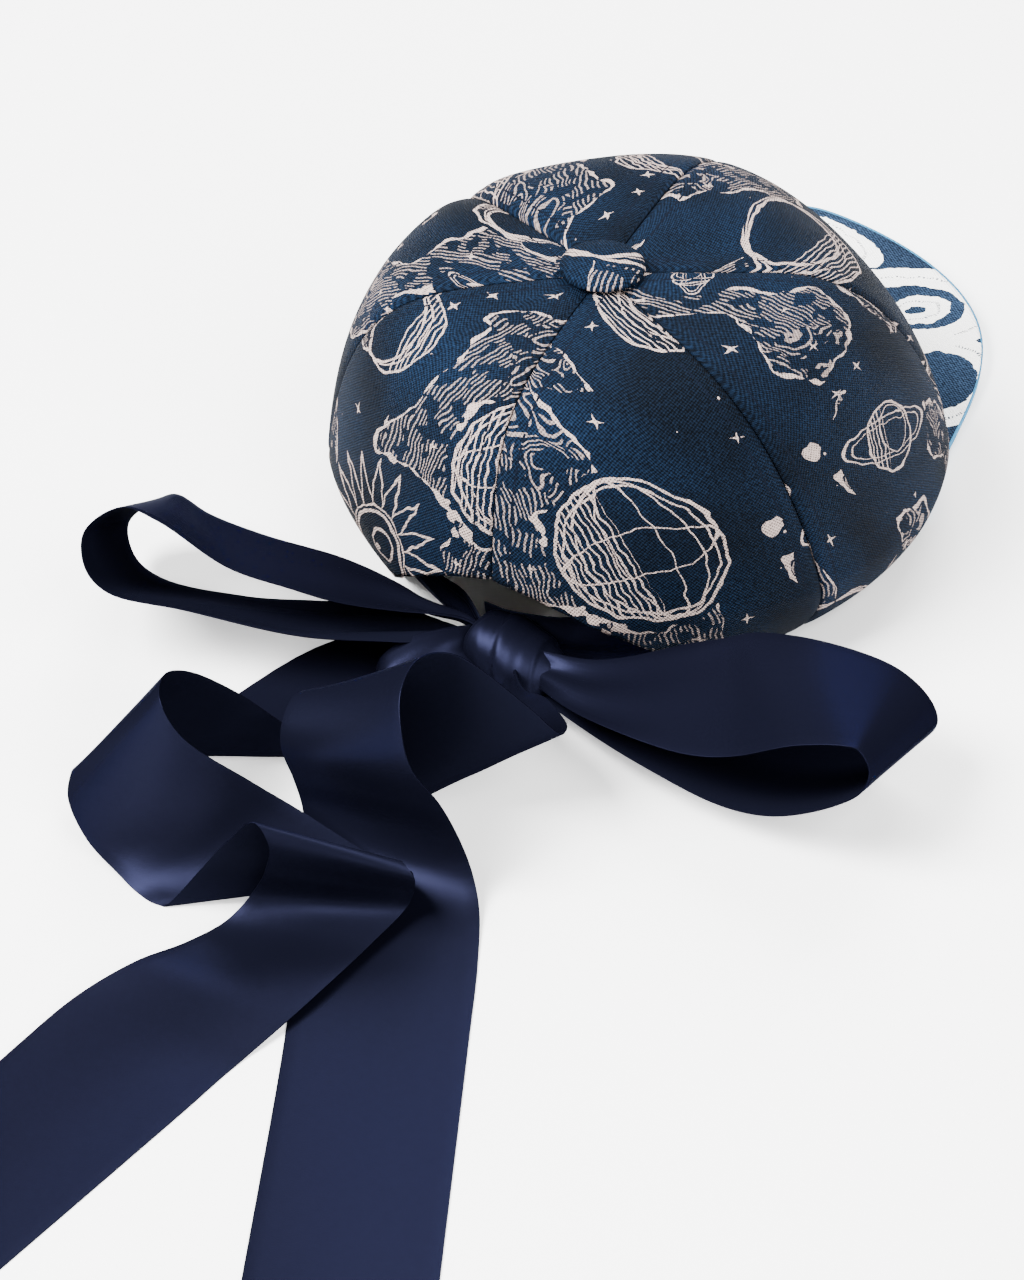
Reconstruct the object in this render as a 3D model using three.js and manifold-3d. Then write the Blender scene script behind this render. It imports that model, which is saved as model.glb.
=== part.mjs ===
// A six-panel cap whose back strap is a wide satin ribbon, tied in a bow behind the arch.
// Millimetres. +Z up, the visor points to -Y, the bow lies towards +Y, +X is the wearer's left.
// The tables below give places from the middle of the rim; the last lines move the whole cap.
import * as THREE from 'three';
import * as BufferGeometryUtils from 'three/addons/utils/BufferGeometryUtils.js';
import Module from 'manifold-3d';

const wasm = await Module();
wasm.setup();

// Crown
const crownHalfLength = 108;
const crownHalfWidth = 95;
const crownHeight = 103;
const crownPlanPower = 1.84;
const rimShare = 0.866;
const bulgeClimb = 0.25;
const topSetback = 36;
const setbackPower = 1.5;
const sideSeamFront = 61;
const sideSeamRear = 123;
const panelFlattening = 0.025;
const crownWall = 1.8;
const seamGap = 0.34;
const topHoleRadius = 3;
const archHeight = 45.5;
const archHalfAngle = 33;
const archPower = 1.6;
const panelColumns = 12;
const panelRows = 14;

// Visor
const visorHalfAngle = 77;
const visorHalfWidth = 81;
const visorFront = 152;
const visorEndDepth = 19;
const visorCornerPower = 1.45;
const visorSquareness = 3;
const visorEndFlare = 6;
const visorArch = 7;
const visorWall = 3;
const visorTuck = 0.5;
const rootFade = 20;
const visorColumns = 30;
const visorRows = 5;

// Button on the top
const buttonRadius = 12.5;
const buttonHeight = 5;
const buttonFacets = 32;

// Ribbon
const ribbonWall = 1.2;
const ribbonColumns = 3;
const ribbonSubRows = 3;
const knotLength = 29;
const knotDepth = 22;
const knotHeight = 24;
const knotCentre = new THREE.Vector3(-4.5, 107, 13.2);
const knotTurn = 24.4;
const knotFacets = 32;
const clearance = 0.35;
// Ribbons pass through each other only inside the gathers, this near to the knot.
const gatherRadius = 48;
const gatherFacets = 24;

const canvas = new THREE.MeshStandardMaterial({ color: 0x2c4258, roughness: 0.95, metalness: 0 });
const visorCanvas = new THREE.MeshStandardMaterial({ color: 0x38506b, roughness: 0.95, metalness: 0 });
const satin = new THREE.MeshStandardMaterial({ color: 0x1d2038, roughness: 0.35, metalness: 0 });
canvas.name = 'canvas';
visorCanvas.name = 'visor_canvas';
satin.name = 'satin';

const rad = THREE.MathUtils.degToRad;
const deg = THREE.MathUtils.radToDeg;
const cap = new THREE.Group();

function addMesh(name, geometry, material) {
  geometry.computeVertexNormals();
  const mesh = new THREE.Mesh(geometry, material);
  mesh.name = name;
  cap.add(mesh);
}

// A closed wall between two grids of points that have the same rows and columns.
function wallGeometry(outer, inner) {
  const rows = outer.length;
  const columns = outer[0].length;
  const at = (row, column, side) => side * rows * columns + row * columns + column;
  const index = [];
  const points = [...outer.flat(), ...inner.flat()];
  const quad = (a, b, c, d) => {
    const acrossFirst = points[a].distanceTo(points[c]) <= points[b].distanceTo(points[d]);
    if (acrossFirst) index.push(a, b, c, a, c, d);
    else index.push(b, c, d, b, d, a);
  };
  for (let r = 0; r < rows - 1; r++) {
    for (let c = 0; c < columns - 1; c++) {
      quad(at(r, c, 0), at(r, c + 1, 0), at(r + 1, c + 1, 0), at(r + 1, c, 0));
      quad(at(r, c, 1), at(r + 1, c, 1), at(r + 1, c + 1, 1), at(r, c + 1, 1));
    }
    quad(at(r, 0, 0), at(r + 1, 0, 0), at(r + 1, 0, 1), at(r, 0, 1));
    quad(at(r, columns - 1, 1), at(r + 1, columns - 1, 1), at(r + 1, columns - 1, 0), at(r, columns - 1, 0));
  }
  for (let c = 0; c < columns - 1; c++) {
    quad(at(0, c, 1), at(0, c + 1, 1), at(0, c + 1, 0), at(0, c, 0));
    quad(at(rows - 1, c, 0), at(rows - 1, c + 1, 0), at(rows - 1, c + 1, 1), at(rows - 1, c, 1));
  }
  const geometry = new THREE.BufferGeometry().setFromPoints(points);
  geometry.setIndex(index);
  return geometry;
}

// A three.js geometry as a solid that can be cut and joined.
function toManifold(geometry) {
  const plain = geometry.clone();
  for (const name of Object.keys(plain.attributes)) {
    if (name !== 'position') plain.deleteAttribute(name);
  }
  const merged = BufferGeometryUtils.mergeVertices(plain, 1e-4);
  const mesh = new wasm.Mesh({
    numProp: 3,
    vertProperties: new Float32Array(merged.attributes.position.array),
    triVerts: new Uint32Array(merged.index.array),
  });
  return new wasm.Manifold(mesh);
}

// The largest piece of a cut solid, as a geometry.
function toGeometry(solid) {
  const largest = solid.decompose().sort((a, b) => b.volume() - a.volume())[0];
  const mesh = largest.getMesh();
  const geometry = new THREE.BufferGeometry();
  geometry.setAttribute('position', new THREE.BufferAttribute(Float32Array.from(mesh.vertProperties), 3));
  geometry.setIndex(new THREE.BufferAttribute(Uint32Array.from(mesh.triVerts), 1));
  return geometry;
}

// The crown's shell. Angle 0 is the front, + towards the wearer's left; climb 0 is the rim, 1 the top.
// Below the bulge the wall leans out, above it the wall rounds over to a top that is set back.
function crownProfile(angle) {
  const front = Math.cos(angle);
  return {
    bulgeShare: 0.207 - 0.107 * front,
    roundOver: 5.2 + 0.47 * front,
    topRound: 1.17 + 0.15 * front,
  };
}

function planRadius(angle) {
  const lengthwise = Math.abs(Math.cos(angle) / crownHalfLength) ** crownPlanPower;
  const crosswise = Math.abs(Math.sin(angle) / crownHalfWidth) ** crownPlanPower;
  return (lengthwise + crosswise) ** (-1 / crownPlanPower);
}

const seamAngles = [-180, -sideSeamRear, -sideSeamFront, 0, sideSeamFront, sideSeamRear, 180];

// Between two seams the cloth lies a little flatter than the seams' own round.
function flattening(angle) {
  const degrees = deg(angle);
  const next = seamAngles.findIndex((seam) => seam > degrees);
  const last = next < 1 ? seamAngles.length - 1 : next;
  const share = (degrees - seamAngles[last - 1]) / (seamAngles[last] - seamAngles[last - 1]);
  return panelFlattening * Math.sin(Math.PI * share) ** 2;
}

function crownPoint(angle, climb) {
  const { bulgeShare, roundOver, topRound } = crownProfile(angle);
  let reach;
  let height;
  if (climb < bulgeClimb) {
    height = (bulgeShare * climb) / bulgeClimb;
    reach = 1 - (1 - rimShare) * ((bulgeShare - height) / bulgeShare) ** 2;
  } else {
    const over = (climb - bulgeClimb) / (1 - bulgeClimb);
    reach = Math.max(Math.cos((over * Math.PI) / 2), 0);
    height = bulgeShare + (1 - bulgeShare) * (1 - reach ** roundOver) ** (1 / topRound);
  }
  const flat = 1 - flattening(angle) * Math.min(climb / bulgeClimb, 1);
  const radius = planRadius(angle) * reach * flat;
  return new THREE.Vector3(
    radius * Math.sin(angle),
    -radius * Math.cos(angle) + topSetback * height ** setbackPower,
    crownHeight * height,
  );
}

function topClimb(angle) {
  const share = topHoleRadius / planRadius(angle);
  return bulgeClimb + ((1 - bulgeClimb) * 2 * Math.acos(share)) / Math.PI;
}

function climbAtHeight(angle, z) {
  let low = 0;
  let high = 1;
  for (let step = 0; step < 40; step++) {
    const middle = (low + high) / 2;
    if (crownPoint(angle, middle).z < z) low = middle;
    else high = middle;
  }
  return (low + high) / 2;
}

function crownNormal(angle, climb) {
  const step = 0.002;
  const alongAngle = crownPoint(angle + step, climb).sub(crownPoint(angle - step, climb));
  const up = crownPoint(angle, Math.min(climb + step, 1)).sub(crownPoint(angle, Math.max(climb - step, 0)));
  return alongAngle.cross(up).normalize();
}

// Height of the visor's top along its root: arched over the forehead, down to its own wall at the ends.
function visorRootTop(degrees) {
  const share = Math.min(Math.abs(degrees) / visorHalfAngle, 1);
  return visorWall + 0.5 * visorArch * Math.cos((share * Math.PI) / 2) ** 2;
}

// Height of the crown's lower edge: over the visor at the front, over the arch at the back.
function lowerEdge(angle) {
  const degrees = Math.abs(deg(angle));
  const fromBack = 180 - degrees;
  if (fromBack < archHalfAngle) return archHeight * (1 - (fromBack / archHalfAngle) ** archPower);
  const past = THREE.MathUtils.smoothstep(degrees, visorHalfAngle, visorHalfAngle + rootFade);
  return (visorRootTop(degrees) + clearance) * (1 - past);
}

// One of the six panels, from seam to seam, set back by half the seam's gap on each side.
function panelGeometry(fromDegrees, toDegrees) {
  const outer = [];
  const inner = [];
  for (let row = 0; row <= panelRows; row++) {
    outer.push([]);
    inner.push([]);
    for (let column = 0; column <= panelColumns; column++) {
      const share = column / panelColumns;
      const plain = rad(fromDegrees + (toDegrees - fromDegrees) * share);
      const start = climbAtHeight(plain, lowerEdge(plain));
      const climb = start + (topClimb(plain) - start) * (row / panelRows);
      const onSeam = crownPoint(plain, climb);
      const axisY = topSetback * (onSeam.z / crownHeight) ** setbackPower;
      const radius = Math.hypot(onSeam.x, onSeam.y - axisY) - crownWall;
      const inset = seamGap / 2 / Math.max(radius, topHoleRadius / 2);
      const angle = plain + inset * (1 - 2 * share);
      const point = crownPoint(angle, climb);
      const innerPoint = point.clone().addScaledVector(crownNormal(angle, climb), -crownWall);
      if (row === 0) innerPoint.z = point.z;
      outer[row].push(point);
      inner[row].push(innerPoint);
    }
  }
  return wallGeometry(outer, inner);
}

const panels = [
  { name: 'panel_front_left', from: 0, to: sideSeamFront },
  { name: 'panel_side_left', from: sideSeamFront, to: sideSeamRear },
  { name: 'panel_back_left', from: sideSeamRear, to: 180 },
  { name: 'panel_front_right', from: -sideSeamFront, to: 0 },
  { name: 'panel_side_right', from: -sideSeamRear, to: -sideSeamFront },
  { name: 'panel_back_right', from: -180, to: -sideSeamRear },
];
for (const { name, from, to } of panels) addMesh(name, panelGeometry(from, to), canvas);

// The visor: a curved board whose root lies under the crown's front edge. Turn 0 is the front, 90 an end.
function visorEdgePoint(turn) {
  const front = Math.cos(turn);
  const side = Math.sqrt(Math.max(1 - front ** 5, 0));
  const corner = visorSquareness * front ** 5 * Math.sqrt(side);
  const x = visorHalfWidth * side ** visorCornerPower + corner + visorEndFlare * (1 - front) ** 8;
  const y = visorEndDepth + (visorFront - visorEndDepth) * front;
  return new THREE.Vector3(Math.sign(turn) * x, -y, 0);
}

function visorGeometry() {
  const top = [];
  const bottom = [];
  for (let row = 0; row <= visorRows; row++) {
    top.push([]);
    bottom.push([]);
    const out = 1 - row / visorRows;
    for (let column = 0; column <= visorColumns; column++) {
      const turn = rad(-90 + (180 * column) / visorColumns);
      const angle = (turn * visorHalfAngle) / 90;
      const root = crownPoint(angle, climbAtHeight(angle, lowerEdge(angle)));
      const inward = 1 - (crownWall + visorTuck) / Math.hypot(root.x, root.y);
      const point = root.multiplyScalar(inward).lerp(visorEdgePoint(turn), out);
      const rise = visorArch * Math.cos(turn) ** 2 * (0.5 + 0.5 * out);
      top[row].push(new THREE.Vector3(point.x, point.y, visorWall + rise));
      bottom[row].push(new THREE.Vector3(point.x, point.y, rise));
    }
  }
  return wallGeometry(top, bottom);
}
addMesh('visor', visorGeometry(), visorCanvas);

// The covered button, a low dome over the place where the six seams meet.
const buttonProfile = [
  [0, 0],
  [0.92, 0],
  [1, 0.22],
  [0.94, 0.5],
  [0.78, 0.75],
  [0.52, 0.92],
  [0.25, 0.985],
  [0, 1],
].map(([out, up]) => new THREE.Vector2(out * buttonRadius, up * buttonHeight));
const button = new THREE.LatheGeometry(buttonProfile, buttonFacets);
button.rotateX(Math.PI / 2);
button.translate(0, topSetback, crownHeight + clearance);
addMesh('button', toGeometry(toManifold(button)), canvas);

// The ribbon lies in single-faced satin, 50 mm wide. Each row is one place across it, from its left to
// its right edge as it runs away from the knot; between two rows it bends like stiff paper.
const tailRightRows = [
  { stage: 'in the knot', left: [-7, 112, 19], right: [-2, 113, 11] },
  { stage: 'leaves the knot', left: [-19, 126, 23], right: [-4, 127, 9] },
  { stage: 'opens out', left: [-31, 137, 30], right: [-1, 138, 8] },
  { stage: 'first fold', left: [-40, 150, 32], right: [1, 158, 5] },
  { stage: 'first fold', left: [-40, 155, 36], right: [-2, 168, 5] },
  { stage: 'comes back over itself', left: [-31, 157, 44], right: [2, 171, 10] },
  { stage: 'rises', left: [-12, 164, 61], right: [21, 163, 27] },
  { stage: 'roll, far side', left: [-6, 174, 65], right: [30, 164, 33] },
  { stage: 'roll, top', left: [-6, 185, 62], right: [34, 170, 35] },
  { stage: 'roll, near side', left: [-10, 193, 54], right: [34, 179, 32] },
  { stage: 'comes down', left: [-14, 196, 46], right: [32, 184, 27] },
  { stage: 'comes down', left: [-21, 193, 33], right: [27, 187, 20] },
  { stage: 'comes down', left: [-25, 190, 20], right: [24, 188, 11] },
  { stage: 'touches down', left: [-29, 190, 9], right: [19, 196, 3] },
  { stage: 'under the other tail', left: [-34, 196, 3], right: [14, 209, 0.6] },
  { stage: 'under the other tail', left: [-42, 214, 0.6], right: [5, 231, 0.6] },
  { stage: 'lies flat', left: [-53, 244, 0.6], right: [-7, 261, 0.6] },
  { stage: 'end', left: [-87, 338, 0.6], right: [-40, 354, 0.6] },
];

const tailLeftRows = [
  { stage: 'in the knot', left: [-3, 111, 9], right: [3, 107, 12] },
  { stage: 'leaves the knot', left: [-1, 121, 4], right: [15, 101.5, 11.5] },
  { stage: 'opens out', left: [10, 133, 2], right: [34, 104.5, 10.5] },
  { stage: 'lies flat', left: [19, 146, 1.5], right: [55, 118, 5] },
  { stage: 'first fold', left: [29, 156, 1.5], right: [79, 176, 2] },
  { stage: 'comes back over itself', left: [32, 160, 7], right: [82, 183, 4] },
  { stage: 'rises', left: [41, 168, 21], right: [87, 192, 7] },
  { stage: 'rises', left: [51, 175, 34], right: [89, 197, 9] },
  { stage: 'roll, far side', left: [60, 184, 45], right: [90, 200, 11] },
  { stage: 'roll, top', left: [62, 194, 51], right: [89, 204, 12] },
  { stage: 'roll, near side', left: [58, 204, 51], right: [86, 211, 10] },
  { stage: 'comes down', left: [51, 206, 42], right: [76, 219, 5] },
  { stage: 'comes down', left: [33, 200, 27], right: [63, 225, 2] },
  { stage: 'over the other tail', left: [21, 196, 18], right: [56, 228, 0.6] },
  { stage: 'over the other tail', left: [1, 196, 10], right: [50, 230, 0.6] },
  { stage: 'second fold', left: [-13, 198, 8], right: [46, 230, 0.6] },
  { stage: 'second fold', left: [-16, 200, 10], right: [43, 229, 4] },
  { stage: 'rises', left: [-17, 203, 15], right: [36, 227, 15] },
  { stage: 'rises', left: [-17, 207, 19], right: [28, 224, 27] },
  { stage: 'roll, top', left: [-17, 209, 24], right: [19, 225, 38] },
  { stage: 'roll, near side', left: [-21, 210, 21], right: [15, 225, 32] },
  { stage: 'comes down', left: [-20, 208, 13], right: [17, 224, 20] },
  { stage: 'comes down', left: [-18, 209, 7], right: [22, 224, 9] },
  { stage: 'over the other tail', left: [-14, 223, 4], right: [26, 231, 4] },
  { stage: 'over the other tail', left: [-10, 243, 4], right: [32, 243, 4] },
  { stage: 'over the other tail', left: [-6, 258, 3], right: [40, 257, 6] },
  { stage: 'lies flat', left: [0, 276, 0.6], right: [49, 273, 4] },
  { stage: 'lies flat', left: [5, 297, 0.6], right: [56, 295, 1.5] },
  { stage: 'end', left: [22, 366, 0.6], right: [68, 358, 0.6] },
];

const loopLeftRows = [
  { stage: 'in the knot', left: [2, 108, 18], right: [3, 105, 13] },
  { stage: 'leaves the knot', left: [11.5, 106, 20], right: [13, 100.5, 17.5] },
  { stage: 'opens out', left: [19, 111, 23.5], right: [24, 99.5, 18.5] },
  { stage: 'opens out', left: [28, 116, 25.5], right: [38.5, 95, 18.5] },
  { stage: 'opens out', left: [43, 124, 30], right: [60, 89, 16] },
  { stage: 'top run', left: [58, 128, 34], right: [87, 88, 15] },
  { stage: 'top run', left: [76, 131, 38], right: [105, 89, 18] },
  { stage: 'roll, start', left: [99, 130, 47], right: [116, 89, 22] },
  { stage: 'roll, top', left: [110, 131, 49], right: [121, 91, 20] },
  { stage: 'roll, tip', left: [119, 138, 42], right: [128, 98, 14] },
  { stage: 'roll, tip', left: [116, 144, 34], right: [124, 103, 6] },
  { stage: 'roll, underneath', left: [108, 146, 29], right: [114, 105, 2] },
  { stage: 'bottom run', left: [85, 142, 27], right: [87, 101, 0.6] },
  { stage: 'bottom run', left: [49, 137, 25], right: [65, 97, 3] },
  { stage: 'closes in', left: [27, 122, 20], right: [38, 98, 11] },
  { stage: 'closes in', left: [13, 110, 16], right: [15, 102, 14] },
  { stage: 'back in the knot', left: [2, 110, 13], right: [3, 106, 8] },
];

const loopRightRows = [
  { stage: 'in the knot', left: [-8, 109, 20], right: [-10, 113, 12] },
  { stage: 'opens out', left: [-30, 106, 20], right: [-37, 130, 20] },
  { stage: 'top run, dips', left: [-53, 92, 24], right: [-69, 138, 25] },
  { stage: 'top run', left: [-63, 90, 28], right: [-84, 139, 30] },
  { stage: 'top run, rises', left: [-71, 89, 32], right: [-103, 139, 41] },
  { stage: 'roll, start', left: [-92, 90, 37], right: [-117, 139, 46] },
  { stage: 'roll, top', left: [-115, 90, 35], right: [-121, 139, 46] },
  { stage: 'roll, tip', left: [-126, 92, 29], right: [-125, 140, 41] },
  { stage: 'roll, tip', left: [-129, 93, 22], right: [-124, 141, 34] },
  { stage: 'roll, underneath', left: [-124, 94, 14], right: [-117, 141, 26] },
  { stage: 'bottom run', left: [-106, 93, 5], right: [-99, 141, 15] },
  { stage: 'bottom run', left: [-90, 92, 2], right: [-82, 139, 11] },
  { stage: 'closes in', left: [-57, 91, 3], right: [-55, 133, 12] },
  { stage: 'back in the knot', left: [-8, 109, 6], right: [-10, 113, 9] },
];

// The two ends sewn inside the arch's corners: upright strips from the crown to the knot.
const anchorLeftRows = [
  { stage: 'sewn in', left: [52, 80, 30], right: [46, 72, 2] },
  { stage: 'bends', left: [38, 86, 26], right: [34, 80, 2] },
  { stage: 'bends', left: [27, 90, 22], right: [24, 86, 2] },
  { stage: 'narrows', left: [18, 93.5, 21.5], right: [16, 91, 3] },
  { stage: 'narrows', left: [12.5, 97, 19], right: [11.5, 95, 5] },
  { stage: 'in the knot', left: [7, 102, 16], right: [7, 101, 7] },
];

// The right end is caught behind the knot and reaches past it.
const anchorRightRows = [
  { stage: 'sewn in', left: [-46, 72, 2], right: [-52, 80, 32] },
  { stage: 'bends', left: [-34, 82, 2], right: [-38, 87, 27] },
  { stage: 'bends', left: [-22, 89, 3], right: [-24, 92, 24] },
  { stage: 'behind the knot', left: [-12, 93.5, 4], right: [-12, 94.5, 21.3] },
  { stage: 'behind the knot', left: [-2, 94, 6], right: [-2, 94.5, 19.2] },
  { stage: 'behind the knot', left: [6, 94, 7], right: [6, 94.5, 18.5] },
  { stage: 'end', left: [10, 94, 9], right: [11, 94.5, 20] },
];

function edgeCurve(rows, edge) {
  return new THREE.CatmullRomCurve3(rows.map((row) => new THREE.Vector3(...row[edge])), false, 'centripetal');
}

// A ribbon solid of the given wall through the rows of a table.
function ribbonGeometry(rows, wall) {
  const leftEdge = edgeCurve(rows, 'left');
  const rightEdge = edgeCurve(rows, 'right');
  const steps = (rows.length - 1) * ribbonSubRows;
  const step = 0.2 / steps;
  const top = [];
  const bottom = [];
  for (let row = 0; row <= steps; row++) {
    const at = row / steps;
    const before = Math.max(at - step, 0);
    const after = Math.min(at + step, 1);
    const left = leftEdge.getPoint(at);
    const right = rightEdge.getPoint(at);
    const leftRun = leftEdge.getPoint(after).sub(leftEdge.getPoint(before));
    const rightRun = rightEdge.getPoint(after).sub(rightEdge.getPoint(before));
    const across = right.clone().sub(left);
    top.push([]);
    bottom.push([]);
    for (let column = 0; column <= ribbonColumns; column++) {
      const share = column / ribbonColumns;
      const run = leftRun.clone().lerp(rightRun, share);
      const normal = across.clone().cross(run).normalize();
      const middle = left.clone().lerp(right, share);
      const upper = middle.clone().addScaledVector(normal, wall / 2);
      const lower = middle.clone().addScaledVector(normal, -wall / 2);
      upper.z = Math.max(upper.z, 0);
      lower.z = Math.max(lower.z, 0);
      top[row].push(upper);
      bottom[row].push(lower);
    }
  }
  return wallGeometry(top, bottom);
}

// The knot: a tight wrap about the line from anchor to anchor.
function knotSolid(grown) {
  return wasm.Manifold.sphere(1, knotFacets)
    .scale([knotLength / 2 + grown, knotDepth / 2 + grown, knotHeight / 2 + grown])
    .rotate([0, 0, knotTurn])
    .translate([knotCentre.x, knotCentre.y, knotCentre.z]);
}
addMesh('knot', toGeometry(knotSolid(0)), satin);

// Each ribbon keeps clear of the knot, and of the ribbons before it where they are gathered together.
const ribbons = [
  { name: 'tail_right', rows: tailRightRows },
  { name: 'tail_left', rows: tailLeftRows },
  { name: 'loop_left', rows: loopLeftRows },
  { name: 'loop_right', rows: loopRightRows },
  { name: 'ribbon_anchor_left', rows: anchorLeftRows },
  { name: 'ribbon_anchor_right', rows: anchorRightRows },
];
const gathers = wasm.Manifold.sphere(gatherRadius, gatherFacets)
  .translate([knotCentre.x, knotCentre.y, knotCentre.z]);
let taken = knotSolid(clearance);
for (const { name, rows } of ribbons) {
  const solid = toManifold(ribbonGeometry(rows, ribbonWall)).subtract(taken);
  addMesh(name, toGeometry(solid), satin);
  const room = toManifold(ribbonGeometry(rows, ribbonWall + 2 * clearance)).intersect(gathers);
  taken = taken.add(room);
}

// Rest the cap on z = 0, with the middle of its box over the origin.
const box = new THREE.Box3().setFromObject(cap);
cap.position.set(-(box.min.x + box.max.x) / 2, -(box.min.y + box.max.y) / 2, -box.min.z);

export default cap;
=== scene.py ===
import math

import bmesh
import bpy
import numpy as np
from mathutils import Euler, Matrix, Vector


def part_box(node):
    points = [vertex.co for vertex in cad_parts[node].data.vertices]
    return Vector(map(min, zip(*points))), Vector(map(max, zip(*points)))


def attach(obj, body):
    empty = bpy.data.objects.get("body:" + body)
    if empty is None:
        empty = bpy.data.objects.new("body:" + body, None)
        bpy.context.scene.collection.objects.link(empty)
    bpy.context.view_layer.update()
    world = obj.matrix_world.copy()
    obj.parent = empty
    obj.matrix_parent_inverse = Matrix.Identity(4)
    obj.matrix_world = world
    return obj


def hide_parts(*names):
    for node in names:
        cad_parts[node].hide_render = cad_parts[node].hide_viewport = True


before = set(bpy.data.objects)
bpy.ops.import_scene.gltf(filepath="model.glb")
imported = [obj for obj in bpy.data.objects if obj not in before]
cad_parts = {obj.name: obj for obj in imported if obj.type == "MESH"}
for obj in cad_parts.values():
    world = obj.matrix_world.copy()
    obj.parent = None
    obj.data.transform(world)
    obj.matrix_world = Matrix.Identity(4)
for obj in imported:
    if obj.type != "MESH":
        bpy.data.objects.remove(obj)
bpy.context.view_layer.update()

# Camera: behind the cap and above it, on the bow's side, with a long lens.
# The rim's middle is the place from which every place below is measured, in metres.
button_low, button_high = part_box("button")
TOP_SETBACK = 0.036
rim = np.array([(button_low.x + button_high.x) / 2, (button_low.y + button_high.y) / 2 - TOP_SETBACK, 0.0])
camera_data = bpy.data.cameras.new("camera")
camera_data.sensor_width = 36
camera_data.lens = 113.4
camera = bpy.data.objects.new("camera", camera_data)
bpy.context.collection.objects.link(camera)
camera_place = Vector(rim + np.array([-0.374, 0.923, 0.771]))
camera_target = Vector(rim + np.array([0.006, 0.086, 0.0]))
camera.location = camera_place
camera.rotation_mode = "QUATERNION"
camera.rotation_quaternion = (camera_target - camera_place).to_track_quat("-Z", "Y")
bpy.context.scene.camera = camera


# Materials share one helper for nodes and one for colours.
# Lengths in the patterns are millimetres, read from the pieces' own UV maps.
def linear(hex_colour):
    channels = [int(hex_colour[i : i + 2], 16) / 255 for i in (1, 3, 5)]
    return [c / 12.92 if c <= 0.04045 else ((c + 0.055) / 1.055) ** 2.4 for c in channels] + [1.0]


def add_node(tree, kind, settings=None, inputs=None):
    node = tree.nodes.new(kind)
    for name, value in (settings or {}).items():
        setattr(node, name, value)
    for socket, value in (inputs or {}).items():
        if isinstance(value, bpy.types.NodeSocket):
            tree.links.new(value, node.inputs[socket])
        else:
            node.inputs[socket].default_value = value
    return node


def new_material(name, colour, roughness):
    material = bpy.data.materials.new(name)
    material.use_nodes = True
    shader = material.node_tree.nodes["Principled BSDF"]
    shader.inputs["Base Color"].default_value = linear(colour)
    shader.inputs["Roughness"].default_value = roughness
    return material, material.node_tree, shader


# Floor and light: a pale matte floor, and three soft lights round the cap and above it.
floor_mesh = bpy.data.meshes.new("floor")
floor_bm = bmesh.new()
bmesh.ops.create_grid(floor_bm, x_segments=1, y_segments=1, size=6)
floor_bm.to_mesh(floor_mesh)
floor_bm.free()
floor = bpy.data.objects.new("floor", floor_mesh)
bpy.context.collection.objects.link(floor)
floor_material, floor_tree, floor_shader = new_material("pale_floor", "#f4f4f4", 0.9)
floor_shader.inputs["Specular IOR Level"].default_value = 0.1
floor_shader.inputs["Emission Color"].default_value = (1.0, 1.0, 1.0, 1.0)
# The floor gives off a little light of its own, painted light, so that it looks as pale as a studio sheet.
# It fades out towards the cap's middle, a painted soft shadow round the cap's foot. Inside the crown it
# gives off none, painted shade that stays grey where it shows through the arch.
floor_place = add_node(floor_tree, "ShaderNodeTexCoord").outputs["Object"]
from_cap = add_node(
    floor_tree, "ShaderNodeVectorMath", {"operation": "DISTANCE"}, {0: floor_place, 1: tuple(rim)}
).outputs["Value"]
painted_floor_glow = add_node(
    floor_tree,
    "ShaderNodeMapRange",
    None,
    {"Value": from_cap, "From Min": 0.08, "From Max": 0.13, "To Max": 0.75},
)
floor_tree.links.new(painted_floor_glow.outputs[0], floor_shader.inputs["Emission Strength"])
floor_mesh.materials.append(floor_material)

world = bpy.data.worlds.new("studio")
world.use_nodes = True
world.node_tree.nodes["Background"].inputs["Color"].default_value = (1.0, 1.0, 1.0, 1.0)
world.node_tree.nodes["Background"].inputs["Strength"].default_value = 0.3
bpy.context.scene.world = world
LIGHTS = [
    # name, place from the rim's middle in metres, width in metres, power in watts
    ("key", (0.9, 0.9, 1.5), 1.0, 210),
    ("fill", (-1.3, 0.6, 1.2), 1.4, 85),
    ("rear", (0.2, -1.4, 1.4), 1.2, 85),
]
for name, place, width, power in LIGHTS:
    light_data = bpy.data.lights.new(name, "AREA")
    light_data.size = width
    light_data.energy = power
    light = bpy.data.objects.new(name, light_data)
    light.location = Vector(rim + np.array(place))
    light.rotation_euler = (Vector(rim) - light.location).to_track_quat("-Z", "Y").to_euler()
    bpy.context.collection.objects.link(light)


# Crown panels: six shaped pieces of canvas, seam to seam, cut out by the arch at the back.
# The surface is the same as the solids': angle 0 is the front, climb runs from the rim to the top.
HALF_LENGTH = 0.108
HALF_WIDTH = 0.095
HEIGHT = 0.103
PLAN_POWER = 1.84
RIM_SHARE = 0.866
BULGE_CLIMB = 0.25
SIDE_SEAM_FRONT = 61
SIDE_SEAM_REAR = 123
FLATTENING = 0.025
CROWN_WALL = 0.0018
SEAM_GAP = 0.0003
TOP_HOLE = 0.003
ARCH_HEIGHT = 0.0455
ARCH_HALF_ANGLE = 33
ARCH_POWER = 1.6
VISOR_HALF_ANGLE = 77
VISOR_ARCH = 0.007
VISOR_WALL = 0.003
ROOT_FADE = 20
CLEARANCE = 0.00035
TOP_LEAN = 1.5
HALVINGS = 30
BULGE_HEIGHT = 0.207
BULGE_LOWER_FRONT = 0.107
TOP_REACH_POWER = 5.2
TOP_REACH_MORE_FRONT = 0.47
TOP_RISE_POWER = 1.17
TOP_RISE_MORE_FRONT = 0.15
SEAMS = np.array([-180.0, -SIDE_SEAM_REAR, -SIDE_SEAM_FRONT, 0.0, SIDE_SEAM_FRONT, SIDE_SEAM_REAR, 180.0])


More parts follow.
